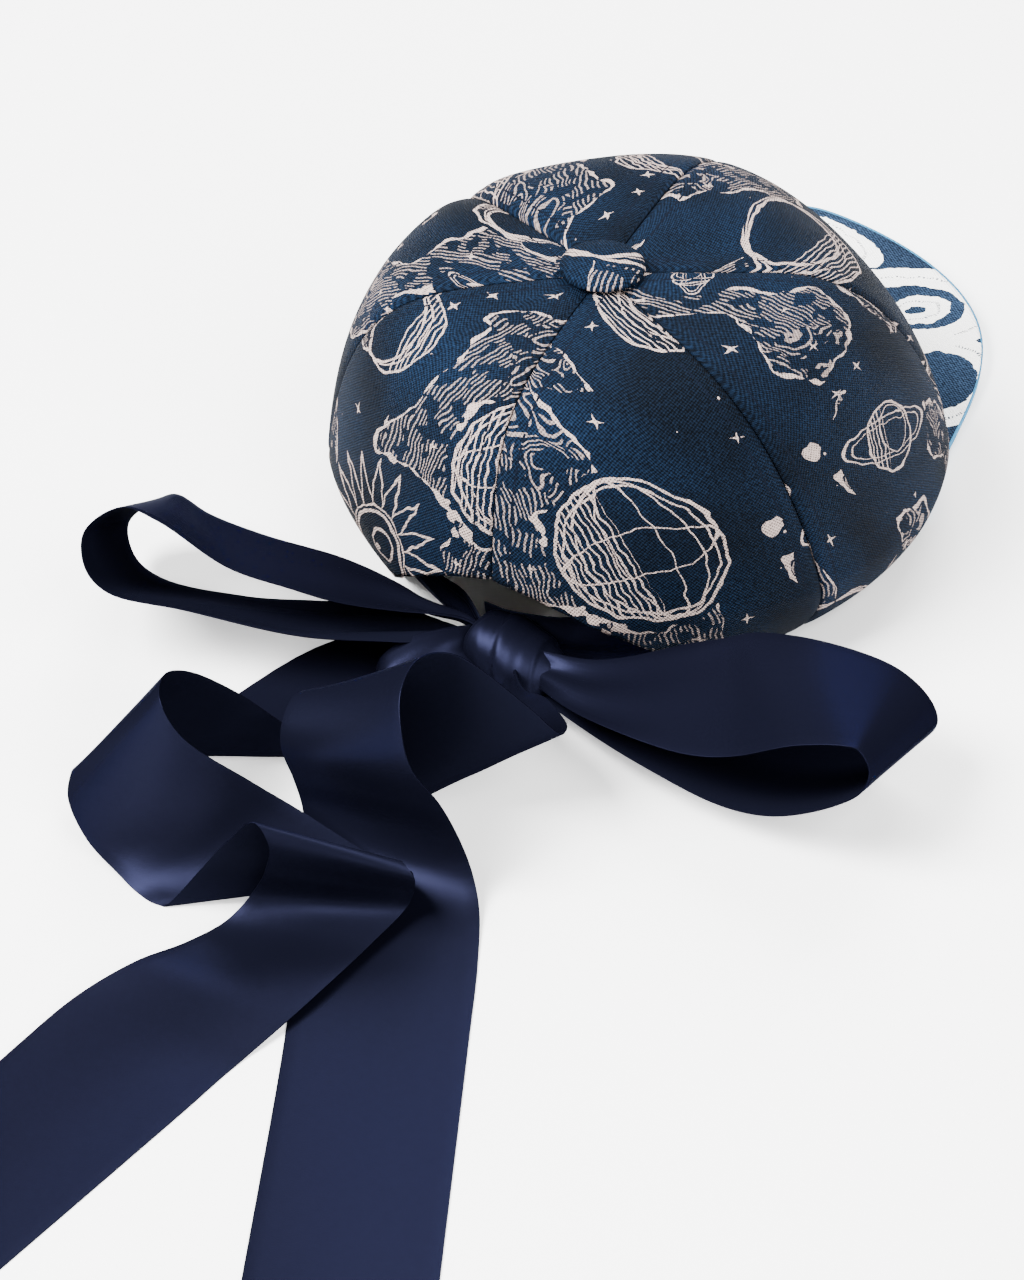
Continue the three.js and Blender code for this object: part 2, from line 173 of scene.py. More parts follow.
def plan_radius(angle):
    lengthwise = np.abs(np.cos(angle) / HALF_LENGTH) ** PLAN_POWER
    crosswise = np.abs(np.sin(angle) / HALF_WIDTH) ** PLAN_POWER
    return (lengthwise + crosswise) ** (-1 / PLAN_POWER)


def flattening(angle):
    degrees = np.clip(np.degrees(angle), -179.999, 179.999)
    last = np.searchsorted(SEAMS, degrees, side="right")
    share = (degrees - SEAMS[last - 1]) / (SEAMS[last] - SEAMS[last - 1])
    return FLATTENING * np.sin(np.pi * share) ** 2


def crown_point(angle, climb):
    front = np.cos(angle)
    bulge = BULGE_HEIGHT - BULGE_LOWER_FRONT * front
    low = np.minimum(climb / BULGE_CLIMB, 1)
    over = np.clip((climb - BULGE_CLIMB) / (1 - BULGE_CLIMB), 0, 1)
    reach_over = np.maximum(np.cos(over * np.pi / 2), 0)
    reach_power = TOP_REACH_POWER + TOP_REACH_MORE_FRONT * front
    rise_power = TOP_RISE_POWER + TOP_RISE_MORE_FRONT * front
    rise = (1 - reach_over**reach_power) ** (1 / rise_power)
    height = np.where(climb < BULGE_CLIMB, bulge * low, bulge + (1 - bulge) * rise)
    reach = np.where(climb < BULGE_CLIMB, 1 - (1 - RIM_SHARE) * (1 - low) ** 2, reach_over)
    radius = plan_radius(angle) * reach * (1 - flattening(angle) * low)
    y = -radius * np.cos(angle) + TOP_SETBACK * height**TOP_LEAN
    return np.stack([radius * np.sin(angle), y, HEIGHT * height], axis=-1)


def climb_at_height(angle, z):
    low, high = np.zeros_like(angle), np.ones_like(angle)
    for _ in range(HALVINGS):
        middle = (low + high) / 2
        below = crown_point(angle, middle)[..., 2] < z
        low, high = np.where(below, middle, low), np.where(below, high, middle)
    return (low + high) / 2


def lower_edge(angle):
    degrees = np.abs(np.degrees(angle))
    share = np.minimum(degrees / VISOR_HALF_ANGLE, 1)
    root = VISOR_WALL + 0.5 * VISOR_ARCH * np.cos(share * np.pi / 2) ** 2 + CLEARANCE
    past = np.clip((degrees - VISOR_HALF_ANGLE) / ROOT_FADE, 0, 1)
    root = root * (1 - past * past * (3 - 2 * past))
    from_back = 180 - degrees
    arch = ARCH_HEIGHT * np.maximum(1 - (from_back / ARCH_HALF_ANGLE) ** ARCH_POWER, 0)
    return np.where(from_back < ARCH_HALF_ANGLE, arch, root)


def top_climb(angle):
    return BULGE_CLIMB + (1 - BULGE_CLIMB) * 2 * np.arccos(TOP_HOLE / plan_radius(angle)) / np.pi


# A piece made from a grid of cells. points holds the grid's points, row by row, from the rim's middle.
# maps gives each UV map's name and its two lengths in millimetres at every point.
def grid_piece(name, columns, rows, points, maps, wall, wall_side, materials):
    bm = bmesh.new()
    bmesh.ops.create_grid(bm, x_segments=columns, y_segments=rows, size=0.5)
    cells = [(round((v.co.x + 0.5) * columns), round((v.co.y + 0.5) * rows)) for v in bm.verts]
    for vertex, (column, row) in zip(bm.verts, cells):
        vertex.co = Vector(points[row, column] + rim)
    for map_name, lengths in maps.items():
        layer = bm.loops.layers.uv.new(map_name)
        for face in bm.faces:
            for loop in face.loops:
                column, row = cells[loop.vert.index]
                loop[layer].uv = lengths[row, column]
    mesh = bpy.data.meshes.new(name)
    bm.to_mesh(mesh)
    bm.free()
    mesh.shade_smooth()
    for material in materials:
        mesh.materials.append(material)
    piece = bpy.data.objects.new(name, mesh)
    bpy.context.collection.objects.link(piece)
    solidify = piece.modifiers.new("wall", "SOLIDIFY")
    solidify.thickness = wall
    solidify.offset = wall_side
    solidify.use_rim = True
    solidify.material_offset = len(materials) - 1
    piece.modifiers.new("even_shading", "WEIGHTED_NORMAL")
    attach(piece, "root")
    return piece


# Canvas: a coarse plain weave in mottled navy, printed in warm broken lines like an old engraving.
# The print is a celestial one with a repeat of its own: sun, moons, planets, a globe and curled clouds.
REPEAT = (196.0, 168.0)
THREAD = 0.62
MOTIF_CLEAR = 1.08
LINE_HALF_WIDTH = 0.33
RAYS = 18
RAY_LENGTH = 0.96
RAY_ROOT = 0.52
RAY_LINE = 0.05
MOTIFS = [
    # kind, x and y of its middle in the repeat, half size, turn in degrees
    ("sun", 48, 62, 33, 8),
    ("crescent", 121, 40, 23, 35),
    ("planet", 168, 104, 25, -24),
    ("globe", 97, 118, 25, 18),
    ("crescent", 26, 137, 15, 200),
    ("planet", 178, 28, 13, 40),
]
RINGS = {
    # ellipses as shares of the half size: x, y, half width, half height, line's inner and outer edge
    "sun": [
        (0, 0, 1, 1, 0.40, 0.44),
        (0, 0, 1, 1, 0.47, 0.49),
        (0.10, 0.06, 0.62, 0.62, 0.28, 0.33),
        (0, 0, 1, 1, 0, 0.05),
    ],
    "crescent": [(0, 0, 1, 1, 0.95, 1), (0.34, 0, 0.84, 0.84, 0.93, 1), (0.20, 0, 0.9, 0.9, 0.94, 0.96)],
    "planet": [
        (0, 0, 0.52, 0.52, 0.93, 1),
        (0, 0, 1, 0.3, 0.94, 1),
        (0, 0, 0.84, 0.22, 0.96, 1),
        (0.1, 0.1, 0.34, 0.34, 0.92, 0.97),
    ],
    "globe": [
        (0, 0, 1, 1, 0.96, 1),
        (0, 0, 1, 1, 0.87, 0.89),
        (0, 0, 1, 0.32, 0.95, 1),
        (0, 0, 0.32, 1, 0.95, 1),
        (0, 0, 0.7, 0.97, 0.97, 1),
    ],
}


def paint_motifs(tree, tile):
    bold, taken = None, None
    for kind, x, y, size, turned in MOTIFS:
        place = {
            "Vector": tile,
            "Location": (x, y, 0),
            "Rotation": (0, 0, math.radians(turned)),
            "Scale": (size,) * 3,
        }
        local = add_node(tree, "ShaderNodeMapping", {"vector_type": "TEXTURE"}, place).outputs[0]
        reach = add_node(tree, "ShaderNodeVectorMath", {"operation": "LENGTH"}, {0: local}).outputs["Value"]
        near = add_node(
            tree, "ShaderNodeMath", {"operation": "LESS_THAN"}, {0: reach, 1: MOTIF_CLEAR}
        ).outputs[0]
        parts = []
        for ring_x, ring_y, wide, high, inner, outer in RINGS[kind]:
            oval = {"Vector": local, "Location": (ring_x, ring_y, 0), "Scale": (wide, high, 1)}
            ring = add_node(tree, "ShaderNodeMapping", {"vector_type": "TEXTURE"}, oval).outputs[0]
            length = add_node(
                tree, "ShaderNodeVectorMath", {"operation": "LENGTH"}, {0: ring}
            ).outputs["Value"]
            middle = (inner + outer) / 2
            half_line = max(outer - middle, LINE_HALF_WIDTH / size)
            line = add_node(
                tree, "ShaderNodeMath", {"operation": "COMPARE"}, {0: length, 1: middle, 2: half_line}
            )
            parts.append(line.outputs[0])
        # Fine strokes: rays round a sun, curved shading on the dark side of the others.
        if kind == "sun":
            angle = add_node(tree, "ShaderNodeTexGradient", {"gradient_type": "RADIAL"}, {"Vector": local})
            around = add_node(
                tree, "ShaderNodeMath", {"operation": "MULTIPLY"}, {0: angle.outputs["Fac"], 1: RAYS}
            )
            zigzag = add_node(
                tree, "ShaderNodeMath", {"operation": "PINGPONG"}, {0: around.outputs[0], 1: 0.5}
            )
            tip = add_node(
                tree,
                "ShaderNodeMath",
                {"operation": "MULTIPLY_ADD"},
                {0: zigzag.outputs[0], 1: RAY_LENGTH, 2: RAY_ROOT},
            )
            ray = add_node(
                tree, "ShaderNodeMath", {"operation": "COMPARE"}, {0: reach, 1: tip.outputs[0], 2: RAY_LINE}
            )
            parts.append(ray.outputs[0])
        else:
            waves = {"Vector": local, "Scale": 0.16 * size, "Distortion": 1.2, "Detail": 0.0}
            shade = add_node(tree, "ShaderNodeTexWave", {"wave_profile": "SIN"}, waves)
            stroke = add_node(
                tree, "ShaderNodeMath", {"operation": "GREATER_THAN"}, {0: shade.outputs["Fac"], 1: 0.82}
            )
            inside = add_node(
                tree, "ShaderNodeMath", {"operation": "LESS_THAN"}, {0: reach, 1: RINGS[kind][0][2]}
            )
            side = add_node(tree, "ShaderNodeSeparateXYZ", None, {0: local}).outputs["X"]
            dark_side = add_node(tree, "ShaderNodeMath", {"operation": "LESS_THAN"}, {0: side, 1: -0.12})
            half = add_node(
                tree,
                "ShaderNodeMath",
                {"operation": "MULTIPLY"},
                {0: inside.outputs[0], 1: dark_side.outputs[0]},
            )
            hatch = add_node(
                tree,
                "ShaderNodeMath",
                {"operation": "MULTIPLY"},
                {0: stroke.outputs[0], 1: half.outputs[0]},
            )
            parts.append(hatch.outputs[0])
        for part in parts:
            kept = add_node(
                tree, "ShaderNodeMath", {"operation": "MULTIPLY"}, {0: part, 1: near}
            ).outputs[0]
            if bold is not None:
                kept = add_node(
                    tree, "ShaderNodeMath", {"operation": "MAXIMUM"}, {0: bold, 1: kept}
                ).outputs[0]
            bold = kept
        if taken is not None:
            near = add_node(
                tree, "ShaderNodeMath", {"operation": "MAXIMUM"}, {0: taken, 1: near}
            ).outputs[0]
        taken = near
    return bold, taken


def paint_sky(tree, tile):
    # Curled clouds: a bold broken outline, with arcs like wool on one side and flowing strokes on the other.
    cloud_level = 0.53
    bending = 14
    arcs = 56.0
    field = add_node(
        tree, "ShaderNodeTexNoise", None, {"Vector": tile, "Scale": 0.021, "Detail": 1.6, "Roughness": 0.5}
    ).outputs["Fac"]
    inside = add_node(
        tree, "ShaderNodeMath", {"operation": "GREATER_THAN"}, {0: field, 1: cloud_level}
    ).outputs[0]
    swell = add_node(
        tree, "ShaderNodeTexNoise", None, {"Vector": tile, "Scale": 0.2, "Detail": 1.0}
    ).outputs["Fac"]
    line_width = add_node(
        tree,
        "ShaderNodeMapRange",
        None,
        {"Value": swell, "From Min": 0.35, "From Max": 0.7, "To Min": 0.0, "To Max": 0.011},
    )
    outline = add_node(
        tree,
        "ShaderNodeMath",
        {"operation": "COMPARE"},
        {0: field, 1: cloud_level, 2: line_width.outputs[0]},
    )
    bend = add_node(
        tree, "ShaderNodeTexNoise", None, {"Vector": tile, "Scale": 0.09, "Detail": 1.0}
    ).outputs["Color"]
    bent = add_node(
        tree,
        "ShaderNodeVectorMath",
        {"operation": "MULTIPLY_ADD"},
        {0: bend, 1: (bending, bending, 0), 2: tile},
    ).outputs[0]
    curl = add_node(
        tree, "ShaderNodeTexVoronoi", None, {"Vector": bent, "Scale": 0.062}
    ).outputs["Distance"]
    phase = add_node(tree, "ShaderNodeMath", {"operation": "MULTIPLY"}, {0: curl, 1: arcs}).outputs[0]
    ripple = add_node(tree, "ShaderNodeMath", {"operation": "SINE"}, {0: phase}).outputs[0]
    arc = add_node(tree, "ShaderNodeMath", {"operation": "GREATER_THAN"}, {0: ripple, 1: 0.5}).outputs[0]
    wavy = {"Vector": tile, "Scale": 0.19, "Distortion": 11.0, "Detail": 1.0, "Detail Scale": 0.28}
    flow = add_node(tree, "ShaderNodeTexWave", {"wave_profile": "SIN"}, wavy).outputs["Fac"]
    strand = add_node(tree, "ShaderNodeMath", {"operation": "GREATER_THAN"}, {0: flow, 1: 0.74}).outputs[0]
    choice = add_node(
        tree, "ShaderNodeTexNoise", None, {"Vector": tile, "Scale": 0.014, "Detail": 0.0}
    ).outputs["Fac"]
    woolly = add_node(
        tree, "ShaderNodeMath", {"operation": "GREATER_THAN"}, {0: choice, 1: 0.47}
    ).outputs[0]
    either = add_node(
        tree, "ShaderNodeMix", {"data_type": "FLOAT"}, {0: woolly, 2: strand, 3: arc}
    ).outputs[0]
    cut = add_node(
        tree, "ShaderNodeTexNoise", None, {"Vector": tile, "Scale": 0.16, "Detail": 1.5}
    ).outputs["Fac"]
    unbroken = add_node(tree, "ShaderNodeMath", {"operation": "GREATER_THAN"}, {0: cut, 1: 0.47}).outputs[0]
    strokes = add_node(
        tree, "ShaderNodeMath", {"operation": "MULTIPLY"}, {0: either, 1: unbroken}
    ).outputs[0]
    fine = add_node(tree, "ShaderNodeMath", {"operation": "MULTIPLY"}, {0: strokes, 1: inside}).outputs[0]
    # Stars: scattered dots of several sizes, and fewer four-pointed ones.
    largest_dot = 0.055
    spike_narrowing = 4.0
    spike_reach = 2.4
    dots = add_node(tree, "ShaderNodeTexVoronoi", None, {"Vector": tile, "Scale": 0.1})
    chance = add_node(tree, "ShaderNodeSeparateColor", None, {0: dots.outputs["Color"]}).outputs[0]
    dot_size = add_node(
        tree, "ShaderNodeMath", {"operation": "MULTIPLY"}, {0: chance, 1: largest_dot}
    ).outputs[0]
    dot = add_node(
        tree, "ShaderNodeMath", {"operation": "LESS_THAN"}, {0: dots.outputs["Distance"], 1: dot_size}
    )
    centres = add_node(
        tree, "ShaderNodeTexVoronoi", None, {"Vector": tile, "Scale": 0.03}
    ).outputs["Position"]
    from_star = add_node(
        tree, "ShaderNodeVectorMath", {"operation": "SUBTRACT"}, {0: tile, 1: centres}
    ).outputs[0]
    folded = add_node(tree, "ShaderNodeVectorMath", {"operation": "ABSOLUTE"}, {0: from_star}).outputs[0]
    legs = add_node(tree, "ShaderNodeSeparateXYZ", None, {0: folded})
    longer = add_node(
        tree, "ShaderNodeMath", {"operation": "MAXIMUM"}, {0: legs.outputs["X"], 1: legs.outputs["Y"]}
    )
    shorter = add_node(
        tree, "ShaderNodeMath", {"operation": "MINIMUM"}, {0: legs.outputs["X"], 1: legs.outputs["Y"]}
    )
    spike = add_node(
        tree,
        "ShaderNodeMath",
        {"operation": "MULTIPLY_ADD"},
        {0: shorter.outputs[0], 1: spike_narrowing, 2: longer.outputs[0]},
    )
    star = add_node(
        tree, "ShaderNodeMath", {"operation": "LESS_THAN"}, {0: spike.outputs[0], 1: spike_reach}
    )
    bold = outline.outputs[0]
    for extra in (dot, star):
        bold = add_node(
            tree, "ShaderNodeMath", {"operation": "MAXIMUM"}, {0: bold, 1: extra.outputs[0]}
        ).outputs[0]
    return bold, fine


def paint_engraving(tree, cloth, seam, weave, colour, ink):
    hand_wobble = 3.6
    grain_share = 2.2
    wobble = add_node(
        tree, "ShaderNodeTexNoise", None, {"Vector": cloth, "Scale": 0.15, "Detail": 1.5}
    ).outputs["Color"]
    moved = add_node(
        tree,
        "ShaderNodeVectorMath",
        {"operation": "MULTIPLY_ADD"},
        {0: wobble, 1: (hand_wobble, hand_wobble, 0), 2: cloth},
    )
    tile = add_node(
        tree,
        "ShaderNodeVectorMath",
        {"operation": "WRAP"},
        {0: moved.outputs[0], 1: (*REPEAT, 1), 2: (0, 0, 0)},
    ).outputs[0]
    motif, taken = paint_motifs(tree, tile)
    sky, fine = paint_sky(tree, tile)
    free = add_node(tree, "ShaderNodeMath", {"operation": "SUBTRACT"}, {0: 1.0, 1: taken}).outputs[0]
    sky = add_node(tree, "ShaderNodeMath", {"operation": "MULTIPLY"}, {0: sky, 1: free}).outputs[0]
    fine = add_node(tree, "ShaderNodeMath", {"operation": "MULTIPLY"}, {0: fine, 1: free}).outputs[0]
    bold = add_node(tree, "ShaderNodeMath", {"operation": "MAXIMUM"}, {0: sky, 1: motif}).outputs[0]
    # The ink is worn off the sunken threads and in patches.
    grain = add_node(
        tree, "ShaderNodeTexNoise", None, {"Vector": cloth, "Scale": 0.55, "Detail": 2.0}
    ).outputs["Fac"]
    hold = add_node(
        tree, "ShaderNodeMath", {"operation": "MULTIPLY_ADD"}, {0: grain, 1: grain_share, 2: weave}
    ).outputs[0]
    inks = [
        # lines drawn, where the ink starts to hold and where it is full, most of it
        (fine, 0.2, 1.5, 0.6),
        (bold, 0.1, 1.1, 0.95),
    ]
    for drawn, low, high, most in inks:
        worn = add_node(
            tree,
            "ShaderNodeMapRange",
            None,
            {"Value": hold, "From Min": low, "From Max": high, "To Min": 0.1, "To Max": most},
        )
        share = add_node(
            tree, "ShaderNodeMath", {"operation": "MULTIPLY"}, {0: drawn, 1: worn.outputs[0]}
        ).outputs[0]
        colour = add_node(
            tree, "ShaderNodeMix", {"data_type": "RGBA"}, {0: share, 6: colour, 7: linear(ink)}
        ).outputs[2]
    return colour


def woven_canvas(name, dark, light, ink, paint, stitched):
    thread_wander = 0.5
    glint_share = 2.6
    material, tree, shader = new_material(name, dark, 0.85)
    cloth = add_node(tree, "ShaderNodeUVMap", {"uv_map": "cloth"}).outputs["UV"]
    seam = add_node(tree, "ShaderNodeUVMap", {"uv_map": "seam"}).outputs["UV"]
    slub = add_node(
        tree, "ShaderNodeTexNoise", None, {"Vector": cloth, "Scale": 0.5, "Detail": 2.0}
    ).outputs["Color"]
    uneven = add_node(
        tree,
        "ShaderNodeVectorMath",
        {"operation": "MULTIPLY_ADD"},
        {0: slub, 1: (thread_wander, thread_wander, 0), 2: cloth},
    )
    threads = add_node(
        tree,
        "ShaderNodeVectorMath",
        {"operation": "SCALE"},
        {0: uneven.outputs[0], "Scale": math.pi / THREAD},
    )
    waves = add_node(tree, "ShaderNodeVectorMath", {"operation": "SINE"}, {0: threads.outputs[0]})
    axes = add_node(tree, "ShaderNodeSeparateXYZ", None, {0: waves.outputs[0]})
    weave = add_node(
        tree, "ShaderNodeMath", {"operation": "MULTIPLY"}, {0: axes.outputs["X"], 1: axes.outputs["Y"]}
    ).outputs[0]
    mottle = add_node(
        tree, "ShaderNodeTexNoise", None, {"Vector": cloth, "Scale": 0.02, "Detail": 3.0}
    ).outputs["Fac"]
    tone = add_node(tree, "ShaderNodeMapRange", None, {"Value": mottle, "From Min": 0.35, "From Max": 0.65})
    ground = add_node(
        tree,
        "ShaderNodeMix",
        {"data_type": "RGBA"},
        {0: tone.outputs[0], 6: linear(dark), 7: linear(light)},
    )
    # Painted light on the threads: the raised threads and scattered specks are made lighter in colour, as
    # painted highlights, and the threads between them darker, as painted shade.
    glint_speckle = add_node(
        tree, "ShaderNodeTexNoise", None, {"Vector": cloth, "Scale": 0.9, "Detail": 1.0}
    ).outputs["Fac"]
    lit_threads = add_node(
        tree, "ShaderNodeMath", {"operation": "MULTIPLY_ADD"}, {0: glint_speckle, 1: glint_share, 2: weave}
    ).outputs[0]
    painted_thread_light = add_node(
        tree,
        "ShaderNodeMapRange",
        None,
        {"Value": lit_threads, "From Min": 0.7, "From Max": 2.5, "To Min": 0.35, "To Max": 3.0},
    )
    painted_lit_ground = add_node(
        tree,
        "ShaderNodeVectorMath",
        {"operation": "SCALE"},
        {0: ground.outputs[2], "Scale": painted_thread_light.outputs[0]},
    ).outputs[0]
    colour = paint(tree, cloth, seam, weave, painted_lit_ground, ink)
    height = weave
    if stitched:
        # A row of topstitching beside each seam, a little sunk into the cloth. Lengths are millimetres.
        stitch_row = 5.5
        stitch_half_width = 0.35
        stitch_pitch = 3.2
        stitch_length = 2.5
        groove_half_width = 0.9
        groove_sink = -1.6
        beside = add_node(tree, "ShaderNodeSeparateXYZ", None, {0: seam})
        row = add_node(
            tree,
            "ShaderNodeMath",
            {"operation": "COMPARE"},
            {0: beside.outputs["X"], 1: stitch_row, 2: stitch_half_width},
        )
        stitch_run = add_node(
            tree, "ShaderNodeMath", {"operation": "MODULO"}, {0: beside.outputs["Y"], 1: stitch_pitch}
        )
        dash = add_node(
            tree, "ShaderNodeMath", {"operation": "LESS_THAN"}, {0: stitch_run.outputs[0], 1: stitch_length}
        )
        stitch = add_node(
            tree, "ShaderNodeMath", {"operation": "MULTIPLY"}, {0: row.outputs[0], 1: dash.outputs[0]}
        )
        colour = add_node(
            tree,
            "ShaderNodeMix",
            {"data_type": "RGBA"},
            {0: stitch.outputs[0], 6: colour, 7: linear("#060b16")},
        ).outputs[2]
        groove = add_node(
            tree,
            "ShaderNodeMath",
            {"operation": "COMPARE"},
            {0: beside.outputs["X"], 1: stitch_row, 2: groove_half_width},
        )
        height = add_node(
            tree,
            "ShaderNodeMath",
            {"operation": "MULTIPLY_ADD"},
            {0: groove.outputs[0], 1: groove_sink, 2: weave},
        ).outputs[0]
    tree.links.new(colour, shader.inputs["Base Color"])
    bump = add_node(tree, "ShaderNodeBump", None, {"Height": height, "Strength": 0.7, "Distance": 0.0002})
    tree.links.new(bump.outputs["Normal"], shader.inputs["Normal"])
    shader.inputs["Specular IOR Level"].default_value = 0.04
    return material


canvas = woven_canvas("printed_canvas", "#03070f", "#06101e", "#a8968f", paint_engraving, True)
canvas_back = new_material("unprinted_canvas_back", "#9a9a94", 0.95)[0]
PANEL_COLUMNS = 40
PANEL_ROWS = 52
NARROWER_AT_SEAMS = 0.55
NORMAL_STEP = 2e-3
# Each pair is a middle and a width. The hollow's angle has its middle in degrees and its width in radians.
SEAM_ROLL = 0.0009
SEAM_ROLL_WIDTH = 0.0016
CREASE_DEPTH = 0.0030
CREASE_WIDTH = 0.007
CREASE_CLIMB = (0.72, 0.17)
HOLLOW_DEPTH = 0.0026
HOLLOW_ANGLE = (-46, 0.30)
HOLLOW_CLIMB = (0.80, 0.09)
PANELS = [
    # node, from and to in degrees, where its middle lies on the printed cloth in metres
    ("panel_front_left", 0, SIDE_SEAM_FRONT, 0.050, 0.010),
    ("panel_side_left", SIDE_SEAM_FRONT, SIDE_SEAM_REAR, 0.150, 0.060),
    ("panel_back_left", SIDE_SEAM_REAR, 180, 0.240, 0.030),
    ("panel_front_right", -SIDE_SEAM_FRONT, 0, 0.330, 0.090),
    ("panel_side_right", -SIDE_SEAM_REAR, -SIDE_SEAM_FRONT, 0.165, 0.040),
    ("panel_back_right", -180, -SIDE_SEAM_REAR, 0.100, 0.058),
]
for node, start, end, cut_x, cut_y in PANELS:
    even = np.linspace(0, 1, PANEL_COLUMNS + 1)
    shares = (1 - NARROWER_AT_SEAMS) * even + NARROWER_AT_SEAMS * (0.5 - 0.5 * np.cos(np.pi * even))
    plain = np.radians(start + (end - start) * shares)[None, :].repeat(PANEL_ROWS + 1, 0)
    bottom = climb_at_height(plain, lower_edge(plain))
    climb = bottom + (top_climb(plain) - bottom) * np.linspace(0, 1, PANEL_ROWS + 1)[:, None]
    on_seam = crown_point(plain, climb)
    axis_y = TOP_SETBACK * (on_seam[..., 2] / HEIGHT) ** TOP_LEAN
    radius = np.hypot(on_seam[..., 0], on_seam[..., 1] - axis_y)
    inset = SEAM_GAP / 2 / np.maximum(radius, TOP_HOLE)
    angle = plain + inset * (1 - 2 * shares)
    points = crown_point(angle, climb)
    to_seam = np.minimum(shares, 1 - shares) * np.radians(end - start) * radius
    sideways = crown_point(angle + NORMAL_STEP, climb) - crown_point(angle - NORMAL_STEP, climb)
    higher = crown_point(angle, np.minimum(climb + NORMAL_STEP, 1))
    lower = crown_point(angle, np.maximum(climb - NORMAL_STEP, 0))
    normal = np.cross(sideways, higher - lower)
    normal /= np.maximum(np.linalg.norm(normal, axis=-1, keepdims=True), 1e-12)
    roll_in = SEAM_ROLL * np.exp(-((to_seam / SEAM_ROLL_WIDTH) ** 2))
    # The crown has been pressed: a deep crease lies along the left front seam, a hollow beside the button.
    from_crease = (plain - np.radians(SIDE_SEAM_FRONT)) * radius
    along_crease = (climb - CREASE_CLIMB[0]) / CREASE_CLIMB[1]
    roll_in += CREASE_DEPTH * np.exp(-((from_crease / CREASE_WIDTH) ** 2) - along_crease**2)
    round_hollow = (plain - np.radians(HOLLOW_ANGLE[0])) / HOLLOW_ANGLE[1]
    up_hollow = (climb - HOLLOW_CLIMB[0]) / HOLLOW_CLIMB[1]
    roll_in += HOLLOW_DEPTH * np.exp(-(round_hollow**2) - up_hollow**2)
    points = points - normal * roll_in[..., None]
    run = np.linalg.norm(np.diff(points, axis=0), axis=-1)
    climb_length = np.vstack([np.zeros(PANEL_COLUMNS + 1), np.cumsum(run, axis=0)])
    middle = np.radians((start + end) / 2)
    across_length = (plain - middle) * radius + cut_x
    upward_length = climb_length + lower_edge(plain) + cut_y
    maps = {
        "cloth": np.stack([across_length, upward_length], axis=-1) * 1000,
        "seam": np.stack([to_seam, climb_length], axis=-1) * 1000,
    }
    panel = grid_piece(
        node + "_cloth", PANEL_COLUMNS, PANEL_ROWS, points, maps, CROWN_WALL, -1, [canvas, canvas_back]
    )
    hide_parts(node)

# Button: a low dome covered in the same canvas, over the place where the seams meet.
BUTTON_RADIUS = 0.0125
BUTTON_EDGE = 0.0012
BUTTON_DOME = 0.0038
BUTTON_GATHERS = 18
BUTTON_CUT = (118, 60)
FAR_FROM_SEAM = (50, 0)
button_bm = bmesh.new()
bmesh.ops.create_uvsphere(button_bm, u_segments=64, v_segments=32, radius=1)
button_uv = {name: button_bm.loops.layers.uv.new(name) for name in ("cloth", "seam")}
for face in button_bm.faces:
    face.smooth = True
    for loop in face.loops:
        across, along = loop.vert.co.xy * BUTTON_RADIUS * 1000
        loop[button_uv["cloth"]].uv = (across + BUTTON_CUT[0], along + BUTTON_CUT[1])
        loop[button_uv["seam"]].uv = FAR_FROM_SEAM
for vertex in button_bm.verts:
    x, y, z = vertex.co
    up = BUTTON_EDGE + BUTTON_DOME * z**0.85 if z > 0 else BUTTON_EDGE * (1 + z)
    gather = 1 + 0.012 * math.cos(BUTTON_GATHERS * math.atan2(y, x)) * (1 - abs(z))
    spread = BUTTON_RADIUS * gather
    vertex.co = Vector((x * spread, y * spread + TOP_SETBACK, HEIGHT + CLEARANCE + up))
    vertex.co += Vector(rim)
button_mesh = bpy.data.meshes.new("button_cover")
button_bm.to_mesh(button_mesh)
button_bm.free()
button_mesh.materials.append(canvas)
button = bpy.data.objects.new("button_cover", button_mesh)
bpy.context.collection.objects.link(button)
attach(button, "root")
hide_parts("button")

# Visor: a board covered in the same canvas, arched over the forehead.
# It starts under the crown's front edge and ends just behind the temples.
VISOR_HALF_WIDTH = 0.081
VISOR_FRONT = 0.152
VISOR_END_DEPTH = 0.019
SCROLLS = [
    # broad ovals of a wave scroll: x and y of the middle, half width and half height in millimetres,
    # turn in degrees, inner edge as a share
    (-44, -112, 34, 21, 24, 0.55),
    (-64, -80, 22, 26, -20, 0.62),
    (-47, -112, 12, 7, 40, 0.30),
    (4, -134, 32, 13, -6, 0.60),
    (46, -112, 34, 21, -24, 0.55),
    (64, -76, 21, 26, 20, 0.62),
]


